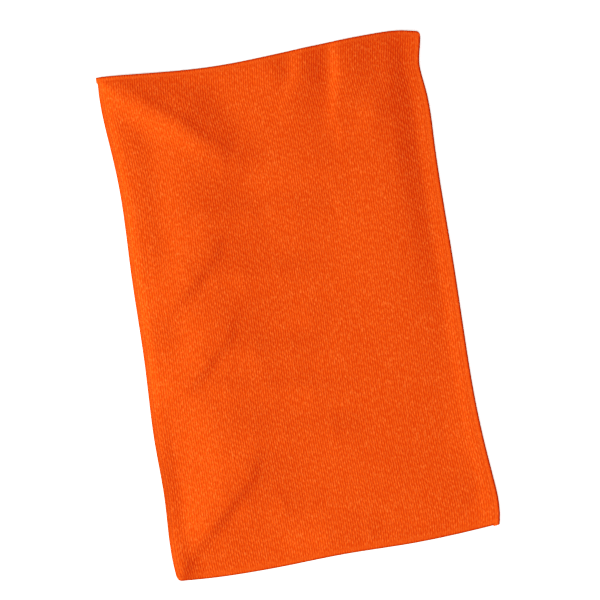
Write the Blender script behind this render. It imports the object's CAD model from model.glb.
import math

import bpy
import numpy as np
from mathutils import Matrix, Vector
from mathutils.bvhtree import BVHTree


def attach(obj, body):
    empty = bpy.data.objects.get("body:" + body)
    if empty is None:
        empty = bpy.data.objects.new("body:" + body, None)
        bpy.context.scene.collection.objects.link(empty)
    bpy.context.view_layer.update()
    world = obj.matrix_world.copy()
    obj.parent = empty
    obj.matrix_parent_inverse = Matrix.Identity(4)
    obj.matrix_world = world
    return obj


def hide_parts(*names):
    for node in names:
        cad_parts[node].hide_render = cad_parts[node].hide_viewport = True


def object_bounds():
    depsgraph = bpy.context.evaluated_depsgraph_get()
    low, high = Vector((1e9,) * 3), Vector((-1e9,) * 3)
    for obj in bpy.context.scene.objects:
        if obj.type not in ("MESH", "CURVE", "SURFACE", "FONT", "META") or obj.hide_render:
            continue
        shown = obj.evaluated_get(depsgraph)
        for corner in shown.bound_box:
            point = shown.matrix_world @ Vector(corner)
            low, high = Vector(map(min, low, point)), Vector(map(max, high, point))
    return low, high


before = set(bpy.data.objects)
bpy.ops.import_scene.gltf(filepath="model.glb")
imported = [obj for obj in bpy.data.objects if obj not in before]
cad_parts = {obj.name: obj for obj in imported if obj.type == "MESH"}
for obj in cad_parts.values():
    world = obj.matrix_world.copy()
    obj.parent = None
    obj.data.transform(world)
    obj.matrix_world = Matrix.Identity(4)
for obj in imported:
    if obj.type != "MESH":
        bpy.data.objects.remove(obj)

# A hemmed microfibre towel, lying loosely on a pale floor.
# Metres, in the CAD frame: X across the towel, Y along it, Z up.
cad_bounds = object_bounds()
MM = 0.001
SIDES = ("top", "right", "bottom", "left")
SEED = 5

# Driving dimensions
FLAT_WIDTH = 394 * MM
FLAT_LENGTH = 610 * MM
CLOTH_THICKNESS = 1.8 * MM
HEM_THICKNESS = 3.5 * MM  # nominal: the hem's profiles stay a little below it
HEM_WIDTH = 6.5 * MM
TUCK = 1.2 * MM  # how far the panel's edge is tucked in under the hem
STITCH_INSET = 5.0 * MM
STITCH_LENGTH = 3.0 * MM
THREAD_DIAMETER = 0.5 * MM
WALE_PITCH = 2.81 * MM  # the knit's lengthwise columns
LOOP_LENGTH = 7.2 * MM  # from one loop to the next along a column
LOOP_HEIGHT = 0.52 * MM


# ---------------------------------------------------------------- the four sides

def runs_across(side):
    return side in ("top", "bottom")


def at_far_end(side):
    """True for the sides where X or Y is greatest."""
    return side in ("top", "right")


def turned_over(side):
    """True for the sides whose outline runs the other way round, so that their faces are turned over."""
    return side in ("top", "left")


def flat_lengths(side):
    """The flat towel's length along a side, and its width away from that side."""
    return (FLAT_WIDTH, FLAT_LENGTH) if runs_across(side) else (FLAT_LENGTH, FLAT_WIDTH)


# ---------------------------------------------------------------- the shape the CAD nodes hold

EDGE_HALVINGS = 16  # steps that close in on the towel's edge
CROSSING_STEPS = 30  # steps that close in on the place where two sides cross
SEARCH_END = 1.05  # an edge is looked for out to this multiple of the towel's reach
SEARCH_START_ALONG = 0.9  # and from this share of that end, along the towel
SEARCH_START_ACROSS = 0.85  # and across it
CORNER_CLEARANCE = 14 * MM  # the sides are read clear of the rounded corners and the hems' folded ends
PLACES_ACROSS = 60
PLACES_ALONG = 90


def cad_tree():
    """One ray-casting tree over the panel and the hems."""
    points, faces = [], []
    for name in ("terry_panel", *(f"hem_{side}" for side in SIDES)):
        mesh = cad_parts[name].data
        start = len(points)
        points += [v.co.copy() for v in mesh.vertices]
        faces += [[start + i for i in p.vertices] for p in mesh.polygons]
    return BVHTree.FromPolygons(points, faces)


TREE = cad_tree()
LOW, HIGH = (np.array(corner) for corner in cad_bounds)
BELOW = LOW[2] - 0.1


def over_towel(x, y):
    """Whether the CAD towel lies over this place."""
    return TREE.ray_cast(Vector((x, y, BELOW)), Vector((0, 0, 1)))[0] is not None


def last_inside(start, end):
    """The last point on the way from start to end that is over the CAD towel."""
    start, end = np.array(start), np.array(end)
    near, far = 0.0, 1.0
    for _ in range(EDGE_HALVINGS):
        middle = (near + far) / 2
        if over_towel(*(start + (end - start) * middle)):
            near = middle
        else:
            far = middle
    return start + (end - start) * near


def side_line(side, places):
    """How far out the towel's edge lies along one side, as a function that runs straight on at its ends."""
    reach = {"top": HIGH[1], "bottom": LOW[1], "left": LOW[0], "right": HIGH[0]}[side] * SEARCH_END
    found = []
    for place in places:
        if runs_across(side):
            found.append(last_inside((place, reach * SEARCH_START_ALONG), (place, reach))[1])
        else:
            found.append(last_inside((reach * SEARCH_START_ACROSS, place), (reach, place))[0])
    found = np.array(found)
    slopes = np.gradient(found, places)

    def line(at):
        inner = np.interp(at, places, found)
        low = found[0] + (at - places[0]) * slopes[0]
        high = found[-1] + (at - places[-1]) * slopes[-1]
        return np.where(at < places[0], low, np.where(at > places[-1], high, inner))

    return line


def side_lines():
    """The four sides as functions."""
    along_x = np.linspace(LOW[0] + CORNER_CLEARANCE, HIGH[0] - CORNER_CLEARANCE, PLACES_ACROSS)
    along_y = np.linspace(LOW[1] + CORNER_CLEARANCE, HIGH[1] - CORNER_CLEARANCE, PLACES_ALONG)
    return {side: side_line(side, along_x if runs_across(side) else along_y) for side in SIDES}


def corner_of(lines, horizontal, vertical):
    """Where two sides would cross."""
    x, y = 0.0, 0.0
    for _ in range(CROSSING_STEPS):
        x = float(lines[vertical](y))
        y = float(lines[horizontal](x))
    return np.array((x, y))


def mix(first, second, share):
    return first + (second - first) * share


def plan_grid(u, v):
    """Plan positions for grid lines u across and v along, each 0 to 1, spread evenly inside the sides."""
    lines = side_lines()
    tl, tr = corner_of(lines, "top", "left"), corner_of(lines, "top", "right")
    bl, br = corner_of(lines, "bottom", "left"), corner_of(lines, "bottom", "right")
    u, v = u[:, None], v[None, :]
    bottom_x, top_x = mix(bl[0], br[0], u), mix(tl[0], tr[0], u)
    left_y, right_y = mix(bl[1], tl[1], v), mix(br[1], tr[1], v)
    bottom_y, top_y = lines["bottom"](bottom_x), lines["top"](top_x)
    left_x, right_x = lines["left"](left_y), lines["right"](right_y)

    def patch(across_low, across_high, along_low, along_high, corners):
        ruled = mix(across_low, across_high, v) + mix(along_low, along_high, u)
        return ruled - mix(mix(corners[0], corners[1], u), mix(corners[2], corners[3], u), v)

    x = patch(bottom_x, top_x, left_x, right_x, (bl[0], br[0], tl[0], tr[0]))
    y = patch(bottom_y, top_y, left_y, right_y, (bl[1], br[1], tl[1], tr[1]))
    return x, y


# ---------------------------------------------------------------- how the cloth lies

COARSE_U = np.linspace(0, 1, 81)
COARSE_V = np.linspace(0, 1, 123)

# Folds in the CAD frame, in mm: crest points (x, y, height), then the half width on the left and on the
# right of someone who walks along the crest. The broad ones merge where they meet; the fine ones add up.
BROAD_FOLDS = [
    ([(-186, 300, 6), (-145, 266, 9), (-108, 238, 9.5), (-80, 210, 7.5), (-50, 192, 4.5), (-20, 182, 1)],
     33, 21),
    ([(-110, 225, 6), (-112, 150, 6.5), (-112, 82, 7), (-140, 44, 6), (-120, 5, 6), (-112, -24, 7),
      (-142, -66, 6), (-122, -110, 6), (-110, -180, 7), (-146, -236, 7), (-182, -276, 5)], 44, 34),
    ([(-178, 288, 5), (-177, 180, 5.4), (-177, 60, 5.4), (-177, -60, 4.6), (-180, -150, 1.5)], 30, 14),
    ([(147, 292, 6), (141, 230, 6.6), (137, 150, 6), (138, 60, 4.2), (141, -20, 2), (142, -100, 1),
      (142, -150, 0.2)], 23, 50),
    ([(10, 316, 4.5), (20, 250, 6), (40, 190, 4.6)], 70, 60),
    ([(208, -90, 2), (212, -290, 4.6)], 30, 36),
    ([(-90, -262, 3.2), (150, -258, 3.0)], 40, 17),
]
FINE_FOLDS = [
    ([(-176, 299, 1), (-145, 267, 1.6), (-108, 238, 1.8), (-80, 210, 1.2), (-50, 193, 0.2)], 7, 12),
    ([(-98, 74, 1.6), (-122, 52, 3.2), (-154, 26, 1.6)], 8, 20),
    ([(-96, -24, 1.6), (-122, -48, 3.2), (-150, -74, 1.6)], 8, 20),
    ([(-96, -196, 2), (-122, -220, 3.6), (-150, -246, 3.4), (-184, -278, 1.4)], 8, 20),
    ([(6, 312, 2.4), (12, 280, 1.8), (18, 262, 0)], 12, 14),
    ([(56, 312, 3.6), (46, 270, 3.2), (12, 218, 0)], 16, 9),
    ([(101, 312, 5.4), (96, 270, 5), (84, 215, 2), (74, 190, 0)], 22, 8),
    ([(140, 250, 0), (126, 215, 2), (110, 172, 0)], 12, 11),
    ([(-100, 184, 1), (-66, 182, 2.4), (-36, 180, 0.8)], 12, 11),
    ([(-100, 158, 0.3), (0, 160, 0.6), (140, 161, 0.6)], 12, 8),
    ([(-95, -90, 1.2), (-55, -91, 2.4), (-25, -92, 1.6), (5, -94, 0.2)], 18, 9),
    ([(-90, 116, 1.6), (-40, 117, 3.2), (10, 119, 2.4), (60, 121, 0.2)], 11, 15),
    ([(-88, 40, 1.5), (-60, 42, 3), (-20, 44, 2.4), (20, 44, 0.7)], 11, 14),
    ([(-20, -14, 0.6), (10, -13, 1.6), (40, -12, 0.6)], 11, 13),
    ([(-86, -50, 1.5), (-60, -49, 3), (-20, -48, 2.4), (20, -48, 0.7)], 11, 14),
    ([(-40, -102, 0.8), (0, -104, 2), (45, -104, 1)], 11, 14),
    ([(-75, -154, 1.5), (-40, -153, 2.8), (15, -152, 2.6), (50, -152, 0.8)], 12, 14),
    ([(-95, -234, 2), (-60, -233, 3), (-30, -231, 1)], 11, 14),
    ([(-40, -284, 1), (-10, -283, 2.4), (35, -282, 1.2)], 11, 12),
]
EDGE_CURLS = [  # where the hem itself stands off the floor
    ([(-205, -170, 1), (-204, -235, 5.5), (-201, -300, 7)], 14, 10),
    ([(206, 290, 2.4), (203, 100, 2.4), (204, -100, 2.8), (210, -290, 3.4)], 30, 17),
]
MERGE = 3  # the higher this power, the less the broad folds add to each other where they meet
WIDTH_BLEND = 3 * MM  # a fold's two half widths blend over this distance at its crest
UNEVENNESS = 0.3 * MM  # of the slow random waves over the whole cloth
UNEVENNESS_CELLS = (6, 12)
RISE = 11 * MM  # the cloth comes up from the floor over this distance in from its edge
EDGE_SHIFT = 1 * MM  # and it lies lowest this far outside that edge
HEM_REST = 0.6  # the share of a fold's height that is gone at the edge; on the left edge all of it is
RESTING = 0.5 * MM  # anything lower than this lies on the floor

# The simulation
CLOTH_PHYSICS = {
    "quality": 8,
    "mass": 0.12,
    "tension_stiffness": 15,
    "compression_stiffness": 15,
    "shear_stiffness": 5,
    "bending_stiffness": 10,
    "air_damping": 2,
    "pin_stiffness": 1,
}
PANEL_HOLD = 0.5  # how strongly the panel is pulled back to its folds
HEM_HOLD = 1.0  # and how strongly the hem is
CONTACT = 1 * MM  # the gap that the cloth keeps from a contact, and the ground too
GROUND_REACH = 1.0
GROUND_FRICTION = 15
SETTLING_FRAMES = 28
FARTHEST_MOVE = 6 * MM


def fold_height(x, y, crest, left_width, right_width):
    """Height of one fold over the plan positions x, y."""
    total = np.zeros_like(x)
    for (ax, ay, a_height), (bx, by, b_height) in zip(crest, crest[1:]):
        ax, ay, bx, by = ax * MM, ay * MM, bx * MM, by * MM
        run = math.hypot(bx - ax, by - ay)
        along = np.clip(((x - ax) * (bx - ax) + (y - ay) * (by - ay)) / run**2, 0, 1)
        away = np.hypot(x - ax - along * (bx - ax), y - ay - along * (by - ay))
        leftward = ((bx - ax) * (y - ay) - (by - ay) * (x - ax)) / run
        width = right_width + (left_width - right_width) / (1 + np.exp(-leftward / WIDTH_BLEND))
        height = a_height + (b_height - a_height) * along
        total = np.maximum(total, height * MM * np.exp(-0.5 * (away / (width * MM)) ** 2))
    return total


def cubic_weights(at, count):
    """Weights that read count values smoothly at fractional places, and straight on past their ends."""
    weights = np.zeros((len(at), count))
    base = np.clip(np.floor(at).astype(int), 1, count - 3)
    t = at - base
    inside = np.clip(t, 0, 1)
    spline = [
        -0.5 * inside + inside**2 - 0.5 * inside**3,
        1 - 2.5 * inside**2 + 1.5 * inside**3,
        0.5 * inside + 2 * inside**2 - 1.5 * inside**3,
        -0.5 * inside**2 + 0.5 * inside**3,
    ]
    rows = np.arange(len(at))
    for k, share in enumerate(spline):
        weights[rows, base - 1 + k] += share
    before, beyond = at < 1, at > count - 2
    last = count - 2
    for ends, k, past in ((rows[before], 0, at[before]), (rows[beyond], last, at[beyond] - last)):
        weights[ends] = 0
        weights[ends, k] = 1 - past
        weights[ends, k + 1] = past
    return weights


def smooth_noise(rng, shape, cells):
    """A smooth random field over a grid, with a spread of about 1 and this many cells each way."""
    coarse = rng.standard_normal((cells[0] + 3, cells[1] + 3))
    rows = cubic_weights(np.linspace(1, cells[0] + 1, shape[0]), cells[0] + 3)
    columns = cubic_weights(np.linspace(1, cells[1] + 1, shape[1]), cells[1] + 3)
    return rows @ coarse @ columns.T


def lying_cloth():
    """The towel's underside as a grid of points: the CAD outline, with folds that rise from the floor."""
    rng = np.random.default_rng(SEED)
    x, y = plan_grid(COARSE_U, COARSE_V)
    z = sum(fold_height(x, y, *fold) ** MERGE for fold in BROAD_FOLDS) ** (1 / MERGE)
    z = z + sum(fold_height(x, y, *fold) for fold in FINE_FOLDS)
    z = z + UNEVENNESS * smooth_noise(rng, z.shape, UNEVENNESS_CELLS)
    across, along = COARSE_U[:, None] * FLAT_WIDTH, COARSE_V[None, :] * FLAT_LENGTH
    edge = np.minimum(np.minimum(across, FLAT_WIDTH - across), np.minimum(along, FLAT_LENGTH - along))
    rest = HEM_REST + (1 - HEM_REST) * np.exp(-across / RISE)
    z = (z - RESTING) * (1 - rest * np.exp(-0.5 * ((edge + EDGE_SHIFT) / RISE) ** 2))
    z = z + sum(fold_height(x, y, *curl) for curl in EDGE_CURLS)
    return np.stack((x, y, np.maximum(z, 0)), axis=-1)


def mesh_object(name, points, *face_sets):
    """A smooth-shaded object from points and sets of faces, each set with its own number of corners."""
    mesh = bpy.data.meshes.new(name)
    face_sets = [np.asarray(faces, dtype=np.int32) for faces in face_sets]
    sizes = np.concatenate([np.full(len(faces), faces.shape[1]) for faces in face_sets])
    corners = np.concatenate([faces.ravel() for faces in face_sets])
    mesh.vertices.add(len(points))
    mesh.vertices.foreach_set("co", np.asarray(points, dtype=np.float32).ravel())
    mesh.loops.add(len(corners))
    mesh.loops.foreach_set("vertex_index", corners)
    mesh.polygons.add(len(sizes))
    mesh.polygons.foreach_set("loop_start", (np.cumsum(sizes) - sizes).astype(np.int32))
    mesh.polygons.foreach_set("use_smooth", np.ones(len(sizes), dtype=bool))
    mesh.update(calc_edges=True)
    made = bpy.data.objects.new(name, mesh)
    bpy.context.scene.collection.objects.link(made)
    return made


def level_square(name, reach, height):
    """A level square about the origin, this far out each way."""
    corners = [(-reach, -reach), (reach, -reach), (reach, reach), (-reach, reach)]
    return mesh_object(name, np.array([(x, y, height) for x, y in corners]), [(0, 1, 2, 3)])


def grid_faces(rows, columns, start=0, closed=False):
    """Quads over a grid of points numbered row by row; closed joins the last column to the first."""
    index = start + np.arange(rows * columns).reshape(rows, columns)
    beside = np.roll(index, -1, axis=1) if closed else index[:, 1:]
    here = index if closed else index[:, :-1]
    return np.stack((here[:-1], here[1:], beside[1:], beside[:-1]), axis=-1).reshape(-1, 4)


def settling_cloth(points):
    """The grid as a cloth that is pulled to where it is now, most strongly along its hems."""
    rows, columns = points.shape[:2]
    cloth = mesh_object("settling_cloth", points.reshape(-1, 3), grid_faces(rows, columns))
    rim = np.zeros((rows, columns), dtype=bool)
    rim[[0, -1], :] = True
    rim[:, [0, -1]] = True
    held = cloth.vertex_groups.new(name="held")
    held.add(np.flatnonzero(~rim.ravel()).tolist(), PANEL_HOLD, "REPLACE")
    held.add(np.flatnonzero(rim.ravel()).tolist(), HEM_HOLD, "REPLACE")
    settling = cloth.modifiers.new("settling", "CLOTH")
    for setting, value in CLOTH_PHYSICS.items():
        setattr(settling.settings, setting, value)
    settling.settings.vertex_group_mass = held.name
    settling.collision_settings.distance_min = CONTACT
    settling.collision_settings.use_self_collision = False
    return cloth


def settle(points):
    """Cloth simulation: the cloth sinks under its own weight, pulled back to its folds and its hems."""
    cloth = settling_cloth(points)
    # The ground lies lower by both gaps, so that the cloth comes to rest on the floor.
    ground = level_square("settling_ground", GROUND_REACH, -2 * CONTACT)
    ground.modifiers.new("ground", "COLLISION")
    ground.collision.thickness_outer = CONTACT
    ground.collision.cloth_friction = GROUND_FRICTION

    scene = bpy.context.scene
    for number in range(1, SETTLING_FRAMES + 1):
        scene.frame_set(number)
    evaluated = cloth.evaluated_get(bpy.context.evaluated_depsgraph_get())
    settled = np.empty(points.size, dtype=np.float32)
    evaluated.data.vertices.foreach_get("co", settled)
    settled = settled.reshape(points.shape).astype(float)
    scene.frame_set(1)
    for done in (cloth, ground):
        mesh = done.data
        bpy.data.objects.remove(done)
        bpy.data.meshes.remove(mesh)

    settled = points + np.clip(settled - points, -FARTHEST_MOVE, FARTHEST_MOVE)
    settled[..., 2] = np.maximum(settled[..., 2], 0)
    return settled


LYING = lying_cloth()
LYING = settle(LYING)


def cloth_at(u, v):
    """The underside's points at grid lines u and v, and the cloth's upward normals there."""
    def points(at_u, at_v):
        rows = cubic_weights(at_u * (len(COARSE_U) - 1), len(COARSE_U))
        columns = cubic_weights(at_v * (len(COARSE_V) - 1), len(COARSE_V))
        found = np.einsum("ia,abk,jb->ijk", rows, LYING, columns, optimize=True)
        found[..., 2] = np.maximum(found[..., 2], 0)
        return found

    nudge = 0.002
    across = points(u + nudge, v) - points(u - nudge, v)
    along = points(u, v + nudge) - points(u, v - nudge)
    normals = np.cross(across, along)
    return points(u, v), normals / np.linalg.norm(normals, axis=-1, keepdims=True)


# ---------------------------------------------------------------- the knit

COLUMNS = int(FLAT_WIDTH / WALE_PITCH) + 4
LOOPS = int(FLAT_LENGTH / LOOP_LENGTH) + 6
COLUMNS_BEFORE = 1  # columns and loops that lie before the towel's edge, because a hem reaches past it
LOOPS_BEFORE = 2
COLUMN_DRIFT = 0.20  # how unevenly each column is shifted against the one before, in loops
SMALLEST_LOOP = 0.6  # a loop's bulge, as a share of the largest
LEAN = 0.30  # how far a loop leans across its column
EARLY = 0.65  # how much earlier or later a loop's bulge comes
BETWEEN_BULGES = 0.42  # a column's height between its bulges, as a share of the highest loop's
RIDGE_POWER = 1.6
knit_rng = np.random.default_rng(SEED + 1)
# Each column's loops sit a third of a loop further along than its neighbour's, with a little unevenness.
LOOP_SHIFT = (np.arange(COLUMNS) / 3 + COLUMN_DRIFT * np.cumsum(knit_rng.standard_normal(COLUMNS))) % 1
LOOP_SIZE = SMALLEST_LOOP + (1 - SMALLEST_LOOP) * knit_rng.random((COLUMNS, LOOPS))
LOOP_LEAN = LEAN * (knit_rng.random((COLUMNS, LOOPS)) - 0.5)
LOOP_START = EARLY * (knit_rng.random((COLUMNS, LOOPS)) - 0.5)


def knit_relief(across, along):
    """Height of the looped face above the ground cloth, 0 to 1."""
    a = np.broadcast_to(across[:, None], (len(across), len(along))) / WALE_PITCH + COLUMNS_BEFORE
    b = np.broadcast_to(along[None, :], a.shape) / LOOP_LENGTH + LOOPS_BEFORE
    column = np.clip(np.floor(a).astype(int), 0, COLUMNS - 1)
    travel = b + LOOP_SHIFT[column]
    loop = np.clip(np.floor(travel).astype(int), 0, LOOPS - 1)
    through = travel - np.floor(travel)
    lean = LOOP_LEAN[column, loop] * np.sin(2 * np.pi * through)
    ridge = np.sin(np.pi * np.clip(a - np.floor(a) + lean * 0.5, 0, 1)) ** RIDGE_POWER
    early = LOOP_START[column, loop] * np.sin(np.pi * through)
    bulge = np.sin(np.pi * np.clip(through + early, 0, 1)) ** 2
    return ridge * (BETWEEN_BULGES + (1 - BETWEEN_BULGES) * bulge * LOOP_SIZE[column, loop])


def keep_loop_shade(made, shade):
    """Keep with each point how far out in the knit it lies, for its material to read."""
    attribute = made.data.attributes.new("loop_shade", "FLOAT", "POINT")
    attribute.data.foreach_set("value", shade.astype(np.float32))


# ---------------------------------------------------------------- the panel

FACE_PROFILE = [  # distance in from the edge, height above the underside, mm
    (-0.35, 1.5), (-0.2, 2.1), (0.2, 2.6), (0.9, 2.95), (1.8, 3.12), (2.8, 3.15),
    (3.6, 3.12), (4.2, 3.08), (4.6, 3.02), (5.0, 2.93), (5.4, 2.98), (5.8, 3.02), (6.5, 3.02),
]
FACE_SLOPE = 17 * MM  # the panel's face comes down from the hem over this distance
BACK_SLOPE = 8 * MM  # its back comes down to the floor over this one
INSIDE_FOLD = 1.5 * MM  # the back's height where it comes out of the hem's fold
TUCK_DEPTH = 0.5 * MM  # how far the tucked edge dips below the hem's face
PRESSED_PILE = 0.35  # the share of the loops' height that is left beside the hem
PRESSED_BAND = 5 * MM  # they come back to their height over this distance
BACK_PILE = 0.5  # the back's loops are this share of the face's height
BACK_COLUMN_SHIFT = 0.4  # and they lie between the face's, shifted by this many columns
BACK_LOOP_SHIFT = 0.5  # and loops
POINTS_PER_COLUMN = 4
POINTS_PER_LOOP = 6.5


def smooth_step(t):
    t = np.clip(t, 0, 1)
    return t * t * (3 - 2 * t)


def face_height(inward):
    """Height of the cloth's face above the underside, from the edge over the hem and down to the panel."""
    d, h = np.array(FACE_PROFILE).T * MM
    over_hem = np.interp(inward, d, h)
    over_panel = h[-1] + (CLOTH_THICKNESS - h[-1]) * smooth_step((inward - HEM_WIDTH) / FACE_SLOPE)
    return np.where(inward <= HEM_WIDTH, over_hem, over_panel)


def back_height(inward):
    """Height of the panel's back above the underside: it comes down from inside the hem to the floor."""
    return INSIDE_FOLD * (1 - smooth_step((inward - HEM_WIDTH) / BACK_SLOPE))


def terry_panel():
    """The knitted panel, closed, from hem to hem: loops on the face and shallower ones on the back."""
    start = HEM_WIDTH - TUCK
    edge_u, edge_v = start / FLAT_WIDTH, start / FLAT_LENGTH
    u = np.linspace(edge_u, 1 - edge_u, int(FLAT_WIDTH / WALE_PITCH * POINTS_PER_COLUMN))
    v = np.linspace(edge_v, 1 - edge_v, int(FLAT_LENGTH / LOOP_LENGTH * POINTS_PER_LOOP))
    points, normals = cloth_at(u, v)
    across, along = u * FLAT_WIDTH, v * FLAT_LENGTH
    inward = np.minimum(
        np.minimum(across, FLAT_WIDTH - across)[:, None],
        np.minimum(along, FLAT_LENGTH - along)[None, :],
    )
    relief = knit_relief(across, along)
    pile = PRESSED_PILE + (1 - PRESSED_PILE) * smooth_step((inward - HEM_WIDTH) / PRESSED_BAND)
    face = face_height(inward) - 0.5 * LOOP_HEIGHT * pile + LOOP_HEIGHT * pile * relief
    face = face - TUCK_DEPTH * smooth_step((HEM_WIDTH - inward) / TUCK)
    back_across = across + BACK_COLUMN_SHIFT * WALE_PITCH
    back_relief = knit_relief(back_across, along + BACK_LOOP_SHIFT * LOOP_LENGTH)
    back = back_height(inward) + BACK_PILE * LOOP_HEIGHT * (1 - back_relief)
    top = points + normals * face[..., None]
    bottom = points + normals * back[..., None]

    rows, columns = len(u), len(v)
    count = rows * columns
    index = np.arange(count).reshape(rows, columns)
    rim = np.concatenate((index[:-1, 0], index[-1, :-1], index[:0:-1, -1], index[0, :0:-1]))
    after = np.roll(rim, -1)
    sides = np.stack((rim, after, after + count, rim + count), axis=-1)[:, ::-1]
    faces = np.concatenate((grid_faces(rows, columns), grid_faces(rows, columns, count)[:, ::-1], sides))
    both = np.concatenate((top.reshape(-1, 3), bottom.reshape(-1, 3)))
    made = mesh_object("terry_cloth", both, faces)
    keep_loop_shade(made, np.concatenate((relief.ravel(), back_relief.ravel())))
    return made


# ---------------------------------------------------------------- the hems

# The rest of the way round the turned hem: down into the fold beside the panel, round the folded edge on the
# back, over the back's stitch groove and out to the rim. In the same measures as the face.
BACK_PROFILE = [
    (7.1, 2.86), (7.6, 2.3), (6.9, 1.75), (6.1, 1.55), (6.35, 1.3), (6.5, 0.8), (6.35, 0.25), (6.0, 0.05),
    (5.6, 0.2), (5.3, 0.45), (5.0, 0.6), (4.7, 0.45), (4.3, 0.15), (3.6, 0.02), (2.6, 0.0), (1.7, 0.05),
    (0.8, 0.25), (0.1, 0.7), (-0.25, 1.1),
]
BUTTED = 1.0 - HEM_WIDTH / MM  # a hem that butts against its neighbour stops short, 1 mm inside it
HEM_ENDS = {  # mm past the corner where each hem starts and ends; one below 0 isn't free
    "top": (1.8, 0.0),
    "right": (1.5, BUTTED),
    "bottom": (0.0, BUTTED),
    "left": (BUTTED, BUTTED),
}
CORNER_ROUNDING = 5 * MM  # of an end at the corner
END_ROUNDING = 1.3 * MM  # of an end that sticks out past it
END_THICKNESS = 0.35  # a free end's thickness, as a share of the hem's
END_STEPS = np.array([0, 0.1, 0.3, 0.6, 1.0, 1.5, 2.1, 2.8]) * MM  # places close to an end
END_STRETCH = 3.5 * MM  # evenly spaced places start this far in from an end
HEM_PILE = 0.55  # the share of the loops' height that is left on the pressed hem
SEAM_PRESS = 0.4  # how much of it the thread presses down
SEAM_WIDTH = 0.5 * MM
PUCKER_DEPTH = 0.14 * MM  # the thread draws the cloth down once in every stitch length
PUCKER_HEIGHT = 0.10 * MM  # and the hem swells a little there, outside the seam
SWELL_INSET = 2.4 * MM
SWELL_WIDTH = 1.4 * MM
FACE_SHADE = 0.30  # the hem's loop shade at the foot of its loops
FACE_SHADE_RANGE = 0.5  # and how much more it is at their tops
BACK_SHADE = 0.45
END_SHADE = 0.4
RIM_SHADE = 1.1  # how much deeper the rim is than the rest
RIM_WIDTH = 2.6 * MM


def side_places(side, step):
    """Places along a hem, as distances across or along the flat cloth, closer together at its ends."""
    before, after = HEM_ENDS[side]
    start = -before * MM
    end = flat_lengths(side)[0] + after * MM
    middle = np.linspace(start + END_STRETCH, end - END_STRETCH, int((end - start) / step))
    return np.concatenate((start + END_STEPS, middle, end - END_STEPS[::-1]))


def edge_frame(side, places, inward):
    """The underside's points and normals beside a side: a row per place, a column per distance inward."""
    length, width = flat_lengths(side)
    share = inward / width
    share = 1 - share if at_far_end(side) else share
    if runs_across(side):
        return cloth_at(places / length, share)
    points, normals = cloth_at(share, places / length)
    return points.transpose(1, 0, 2), normals.transpose(1, 0, 2)


def edge_relief(side, places, inward):
    """The knit's relief beside one side, laid out like edge_frame."""
    there = flat_lengths(side)[1] - inward if at_far_end(side) else inward
    return knit_relief(places, there) if runs_across(side) else knit_relief(there, places).T


def cap_faces(ring, centre, flip):
    """Triangles that close a ring of points onto a centre point."""
    after = np.roll(ring, -1)
    faces = np.stack((ring, after, np.full_like(ring, centre)), axis=-1)
    return faces[:, ::-1] if flip else faces


def seam_lift(places, inward, on_face, relief):
    """How far the knit and the thread's pull lift the hem's face off its plain outline."""
    near_stitch = np.exp(-0.5 * ((inward - STITCH_INSET) / SEAM_WIDTH) ** 2)
    outside_seam = np.exp(-0.5 * ((inward - SWELL_INSET) / SWELL_WIDTH) ** 2)
    pull = np.cos(2 * np.pi * places / STITCH_LENGTH)[:, None]
    lift = on_face * (HEM_PILE - SEAM_PRESS * near_stitch) * LOOP_HEIGHT * (relief - 0.5)
    lift = lift - PUCKER_DEPTH * pull * near_stitch * on_face
    return lift + PUCKER_HEIGHT * pull * on_face * outside_seam


def thin_ends(heights, ends):
    """The hem's heights, brought together at its free ends."""
    middle = HEM_THICKNESS / 2
    for away, past in ends:
        if past >= 0:
            bend = np.sqrt(1 - (1 - np.clip(away / END_ROUNDING, 0, 1)) ** 2)
            heights = middle + (heights - middle) * (END_THICKNESS + (1 - END_THICKNESS) * bend[:, None])
    return heights


def corner_moves(side, places, inward, ends):
    """Moves across the hem that round its free ends off towards the towel's corner."""
    edge_and_seam = edge_frame(side, places, np.array([0.0, HEM_WIDTH]))[0]
    width_way = edge_and_seam[:, 1] - edge_and_seam[:, 0]
    width_way /= np.linalg.norm(width_way, axis=-1, keepdims=True)
    moves = np.zeros((len(places), len(inward)))
    for away, past in ends:
        if past >= 0:
            radius = CORNER_ROUNDING if past == 0 else END_ROUNDING
            left = 1 - np.clip(away / radius, 0, 1)
            draw_in = radius * (1 - np.sqrt(1 - left**2))
            outer = draw_in[:, None] * (1 - inward / HEM_WIDTH)
            inner = draw_in[:, None] * (inward / HEM_WIDTH) * (past > 0)
            moves = moves + (outer - inner)
    return width_way[:, None] * moves[..., None]


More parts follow.
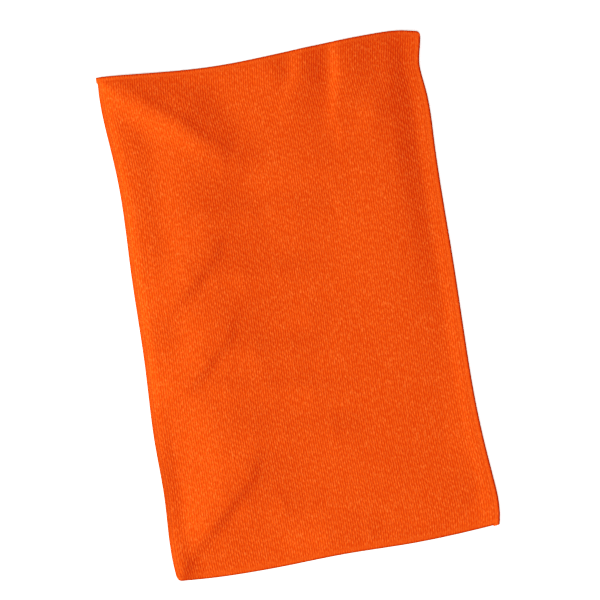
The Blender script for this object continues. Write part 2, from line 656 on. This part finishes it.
def hem(side):
    """One turned hem, closed: the outline of cloth folded over twice, drawn down along its stitch row."""
    places = side_places(side, WALE_PITCH / POINTS_PER_COLUMN)
    inward, height = np.array(FACE_PROFILE + BACK_PROFILE).T * MM
    on_face = np.zeros(len(inward))
    on_face[1:len(FACE_PROFILE)] = 1
    points, normals = edge_frame(side, places, inward)
    relief = edge_relief(side, places, inward)
    ends = tuple(zip((places - places[0], places[-1] - places), HEM_ENDS[side]))
    heights = thin_ends(height + seam_lift(places, inward, on_face, relief), ends)
    surface = points + normals * heights[..., None] + corner_moves(side, places, inward, ends)

    rows, columns = surface.shape[:2]
    flat = surface.reshape(-1, 3)
    end_centres = np.array((surface[0].mean(axis=0), surface[-1].mean(axis=0)))
    flip = turned_over(side)
    tube = grid_faces(rows, columns, closed=True)
    tube = tube[:, ::-1] if flip else tube
    first = cap_faces(np.arange(columns), len(flat), not flip)
    last = cap_faces(np.arange(columns) + (rows - 1) * columns, len(flat) + 1, flip)
    caps = np.concatenate((first, last))
    made = mesh_object(f"hem_fold_{side}", np.concatenate((flat, end_centres)), tube, caps)
    at_rim = np.clip(1 - inward / RIM_WIDTH, 0, 1)
    shade = np.where(on_face > 0, FACE_SHADE + FACE_SHADE_RANGE * relief, BACK_SHADE)
    shade = shade - RIM_SHADE * at_rim
    keep_loop_shade(made, np.concatenate((shade.ravel(), (END_SHADE, END_SHADE))))
    return made


# ---------------------------------------------------------------- sewing

STITCH_RINGS = np.array([0.0, 0.06, 0.2, 0.4, 0.6, 0.8, 0.94, 1.0])  # along one stitch
RING_SIDES = 8
STITCH_REACH = 0.92  # each stitch covers this share of its length
STITCH_GAP = 0.04  # and starts this far along it
FIRST_STITCH = 1.6 * MM  # from the hem's end
LAST_BOBBIN_STITCH = 1.2  # it starts at least this many stitch lengths from the hem's end
# A row's height on the hem, how far each stitch arches, and how far its ends dip; the bobbin row faces down
NEEDLE_ROW = (2.88 * MM, 0.36 * MM, -0.30 * MM)
BOBBIN_ROW = (0.62 * MM, -0.30 * MM, 0.20 * MM)
ARCH_POWER = 0.6  # below 1, so that a stitch dips steeply at its ends
THREAD_TAPER = 0.35  # the thread's thickness where it dips into the cloth, as a share
SLANT = 0.35 * MM
WANDER = 0.16 * MM


def stitch_faces(size, flip):
    """Quads and end triangles of one stitch, whose last two of size points are its ends."""
    rings = len(STITCH_RINGS)
    quads = grid_faces(rings, RING_SIDES, closed=True)
    first = cap_faces(np.arange(RING_SIDES), size - 2, False)
    last = cap_faces(np.arange(RING_SIDES) + (rings - 1) * RING_SIDES, size - 1, True)
    caps = np.concatenate((first, last))
    return (quads, caps) if flip else (quads[:, ::-1], caps[:, ::-1])


def stitching(side, on_face):
    """One row of separate stitches along a hem, each dipping into the cloth at both ends."""
    rng = np.random.default_rng(SEED + 10 * SIDES.index(side) + int(on_face))
    places = side_places(side, WALE_PITCH)
    starts = np.arange(places[0] + FIRST_STITCH, places[-1] - STITCH_LENGTH, STITCH_LENGTH)
    if not on_face:
        starts = starts + STITCH_LENGTH / 2
        starts = starts[starts < places[-1] - LAST_BOBBIN_STITCH * STITCH_LENGTH]
    count, rings = len(starts), len(STITCH_RINGS)
    reach = STITCH_REACH * STITCH_LENGTH
    at = (starts[:, None] + STITCH_RINGS * reach + STITCH_GAP * STITCH_LENGTH).ravel()
    points, normals = (a[:, 0] for a in edge_frame(side, at, np.array([STITCH_INSET])))
    beside = edge_frame(side, at, np.array([STITCH_INSET + 1 * MM]))[0][:, 0] - points
    beside /= np.linalg.norm(beside, axis=-1, keepdims=True)

    arch = np.sin(np.pi * STITCH_RINGS) ** ARCH_POWER
    level, rise, dip = NEEDLE_ROW if on_face else BOBBIN_ROW
    height = level + (rise * arch + dip)
    slant = (rng.random(count) - 0.5) * SLANT
    offset = (rng.random(count) - 0.5) * WANDER
    sideways = offset[:, None] + slant[:, None] * (STITCH_RINGS - 0.5)
    spine = points + normals * np.tile(height, count)[:, None] + beside * sideways.ravel()[:, None]

    radius = THREAD_DIAMETER / 2 * np.tile(THREAD_TAPER + (1 - THREAD_TAPER) * arch, count)
    turn = 2 * np.pi * np.arange(RING_SIDES) / RING_SIDES
    ring = normals[:, None] * np.cos(turn)[:, None] + beside[:, None] * np.sin(turn)[:, None]
    tubes = spine[:, None] + ring * radius[:, None, None]
    tubes = tubes.reshape(count, rings * RING_SIDES, 3)
    poles = spine.reshape(count, rings, 3)[:, [0, -1]]
    stitches = np.concatenate((tubes, poles), axis=1)

    size = stitches.shape[1]
    quads, caps = stitch_faces(size, turned_over(side))
    shift = (np.arange(count) * size)[:, None, None]
    name = f"{'needle' if on_face else 'bobbin'}_stitches_{side}"
    quads, caps = (quads + shift).reshape(-1, 4), (caps + shift).reshape(-1, 3)
    return mesh_object(name, stitches.reshape(-1, 3), quads, caps)


# ---------------------------------------------------------------- materials

DEEP = (0.49, 0.036, 0.0006, 1)
RIM = (0.26, 0.034, 0.0040, 1)
BODY = (0.67, 0.075, 0.0085, 1)
BRIGHT = (0.79, 0.120, 0.0330, 1)
SHEEN_TINT = (1.0, 0.18, 0.01, 1)
FLOOR_TINTS = ((0.93, 0.93, 0.93, 1), (0.96, 0.96, 0.96, 1))
WHITE = (1, 1, 1, 1)

# Kinds of noise: its scale, how far it is drawn out along Y, and its detail
FIBRE = (900, 3.5, 3)
LINT = (2600, 2.0, 2)
DYE = (22, 1.6, 2)
THREAD_FIBRE = (1800, 1.0, 2)
FLOOR_SHADE = (3, 1.0, 3)


def new_material(name):
    made = bpy.data.materials.new(name)
    made.use_nodes = True
    return made, made.node_tree, made.node_tree.nodes["Principled BSDF"]


def set_inputs(node, values):
    for name, value in values.items():
        node.inputs[name].default_value = value


def noise(tree, kind):
    """Noise of one kind, in the cloth's own place."""
    scale, stretch, detail = kind
    place = tree.nodes.new("ShaderNodeTexCoord")
    shape = tree.nodes.new("ShaderNodeMapping")
    set_inputs(shape, {"Scale": (1, 1 / stretch, 1)})
    texture = tree.nodes.new("ShaderNodeTexNoise")
    set_inputs(texture, {"Scale": scale, "Detail": detail})
    tree.links.new(place.outputs["Object"], shape.inputs["Vector"])
    tree.links.new(shape.outputs["Vector"], texture.inputs["Vector"])
    return texture.outputs["Fac"]


def ranged(tree, value, low, high, to_low=0.0, to_high=1.0):
    """The value, spread from low..high to to_low..to_high and held there."""
    node = tree.nodes.new("ShaderNodeMapRange")
    set_inputs(node, {"From Min": low, "From Max": high, "To Min": to_low, "To Max": to_high})
    tree.links.new(value, node.inputs["Value"])
    return node.outputs["Result"]


def mixed(tree, share, first, second):
    """Colour first, going to second as share rises. Either is a socket or a plain colour."""
    node = tree.nodes.new("ShaderNodeMix")
    node.data_type = "RGBA"
    for socket, value in (("Factor", share), ("A", first), ("B", second)):
        target = next(i for i in node.inputs if i.name == socket and i.enabled)
        if isinstance(value, bpy.types.NodeSocket):
            tree.links.new(value, target)
        else:
            target.default_value = value
    return next(o for o in node.outputs if o.enabled)


def bump(tree, height, strength, distance, under=None):
    node = tree.nodes.new("ShaderNodeBump")
    set_inputs(node, {"Strength": strength, "Distance": distance})
    tree.links.new(height, node.inputs["Height"])
    if under is not None:
        tree.links.new(under, node.inputs["Normal"])
    return node.outputs["Normal"]


def knit_material(name, pile):
    """Microfibre loops: deep colour between them, bright tips, fine fibres and a soft tinted sheen."""
    made, tree, shader = new_material(name)
    loops = tree.nodes.new("ShaderNodeAttribute")
    loops.attribute_name = "loop_shade"
    depth = ranged(tree, loops.outputs["Fac"], 0.0, 0.75)
    fibre = noise(tree, FIBRE)
    colour = mixed(tree, depth, DEEP, BODY)
    tips = ranged(tree, fibre, 0.52, 0.75, to_high=0.85 * pile)
    colour = mixed(tree, tips, colour, BRIGHT)
    dyed = ranged(tree, noise(tree, DYE), 0.35, 0.65, to_high=0.07)
    colour = mixed(tree, dyed, colour, DEEP)
    colour = mixed(tree, ranged(tree, loops.outputs["Fac"], -0.6, 0.1), RIM, colour)
    tree.links.new(colour, shader.inputs["Base Color"])
    tree.links.new(ranged(tree, fibre, 0.3, 0.7, 0.98, 0.80), shader.inputs["Roughness"])
    lint = bump(tree, noise(tree, LINT), strength=0.35, distance=0.15 * MM)
    fibres = bump(tree, fibre, strength=0.6 * pile, distance=0.4 * MM, under=lint)
    tree.links.new(fibres, shader.inputs["Normal"])
    set_inputs(shader, {
        "Specular IOR Level": 0.03,
        "Sheen Weight": 0.25,
        "Sheen Roughness": 0.5,
        "Sheen Tint": SHEEN_TINT,
    })
    return made


def thread_material():
    """Sewing thread: smoother and a little deeper than the cloth, with flecks where its fibres show."""
    made, tree, shader = new_material("sewing_thread")
    fibre = noise(tree, THREAD_FIBRE)
    colour = mixed(tree, ranged(tree, fibre, 0.3, 0.7), DEEP, BODY)
    tree.links.new(colour, shader.inputs["Base Color"])
    tree.links.new(ranged(tree, fibre, 0.3, 0.7, 0.75, 0.55), shader.inputs["Roughness"])
    tree.links.new(bump(tree, fibre, strength=0.5, distance=0.15 * MM), shader.inputs["Normal"])
    set_inputs(shader, {"Specular IOR Level": 0.18, "Sheen Weight": 0.1, "Sheen Tint": SHEEN_TINT})
    return made


def floor_material():
    """A pale floor, also lit from below like a light table, so that shadows on it stay pale."""
    made, tree, shader = new_material("pale_floor")
    shade = ranged(tree, noise(tree, FLOOR_SHADE), 0.3, 0.7)
    tree.links.new(mixed(tree, shade, *FLOOR_TINTS), shader.inputs["Base Color"])
    set_inputs(shader, {
        "Roughness": 0.9,
        "Specular IOR Level": 0.0,
        "Emission Color": WHITE,
        "Emission Strength": 0.4,
    })
    return made


# ---------------------------------------------------------------- the studio

FLOOR_REACH = 4.0
FLOOR_GAP = 0.05 * MM  # keeps the floor and the towel's underside from coinciding
LIGHTS = {  # place, diameter and power in watts; each shines at the towel's middle
    "key": ((-2.98, -0.26, 1.21), 0.9, 182),
    "front": ((0.3, -2.4, 2.6), 1.6, 28),
}
ROOM_LIGHT = 0.67
PICTURE_CONTRAST = [(0.04, 0.027), (0.085, 0.085), (0.16, 0.19), (0.4, 0.5), (0.85, 0.865)]
RED_SHOULDER = [(0.75, 0.755), (0.88, 0.868), (0.97, 0.945)]
RED_CURVE, WHOLE_CURVE = 0, 3
CAMERA_PLACE = (1.95 * MM, 5.4 * MM, 3.0)
CAMERA_TURN = -9.2  # degrees
VIEW_WIDTH = 0.7227  # width in view
VIEW_LEVEL = 4 * MM  # at this height, about the cloth's face
SENSOR_WIDTH = 36
FARTHEST_SEEN = 20


def area_light(name, place, diameter, power):
    lamp = bpy.data.lights.new(name, "AREA")
    lamp.shape = "DISK"
    lamp.size = diameter
    lamp.energy = power
    made = bpy.data.objects.new(name, lamp)
    made.location = place
    made.rotation_euler = (-Vector(place)).to_track_quat("-Z", "Y").to_euler()
    bpy.context.scene.collection.objects.link(made)


def picture_curves():
    """The picture's contrast, and a softer top to its red."""
    picture = bpy.context.scene.view_settings
    picture.view_transform = "Standard"
    picture.use_curve_mapping = True
    for curve, points in ((WHOLE_CURVE, PICTURE_CONTRAST), (RED_CURVE, RED_SHOULDER)):
        for light, shown in points:
            picture.curve_mapping.curves[curve].points.new(light, shown)
    picture.curve_mapping.update()


def studio():
    """A pale floor under soft light that comes mostly from the towel's left."""
    floor = level_square("floor", FLOOR_REACH, 0)
    floor.data.materials.append(floor_material())
    floor.location.z = float(LOW[2]) - FLOOR_GAP
    for name, (place, diameter, power) in LIGHTS.items():
        area_light(name, place, diameter, power)
    world = bpy.data.worlds.new("soft_room")
    bpy.context.scene.world = world
    world.use_nodes = True
    set_inputs(world.node_tree.nodes["Background"], {"Color": WHITE, "Strength": ROOM_LIGHT})
    picture_curves()


def camera():
    """Straight above the towel with a long lens, turned so that the towel leans to the left."""
    lens = bpy.data.cameras.new("camera")
    lens.sensor_width = SENSOR_WIDTH
    lens.lens = lens.sensor_width * (CAMERA_PLACE[2] - VIEW_LEVEL) / VIEW_WIDTH
    lens.dof.use_dof = False
    lens.clip_end = FARTHEST_SEEN
    made = bpy.data.objects.new("camera", lens)
    made.location = CAMERA_PLACE
    made.rotation_euler = (0, 0, math.radians(CAMERA_TURN))
    bpy.context.scene.collection.objects.link(made)
    bpy.context.scene.camera = made


# ---------------------------------------------------------------- making and declaring the pieces

cloth_look = knit_material("microfibre_knit", 1.0)
hem_look = knit_material("pressed_hem", 0.7)
thread_look = thread_material()

panel = terry_panel()
panel.data.materials.append(cloth_look)
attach(panel, "root")
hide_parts("terry_panel")

for side in SIDES:
    made = hem(side)
    made.data.materials.append(hem_look)
    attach(made, "root")
    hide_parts(f"hem_{side}")
    for on_face, node in ((True, f"face_stitching_{side}"), (False, f"back_stitching_{side}")):
        row = stitching(side, on_face)
        row.data.materials.append(thread_look)
        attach(row, "root")
        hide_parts(node)

studio()
camera()
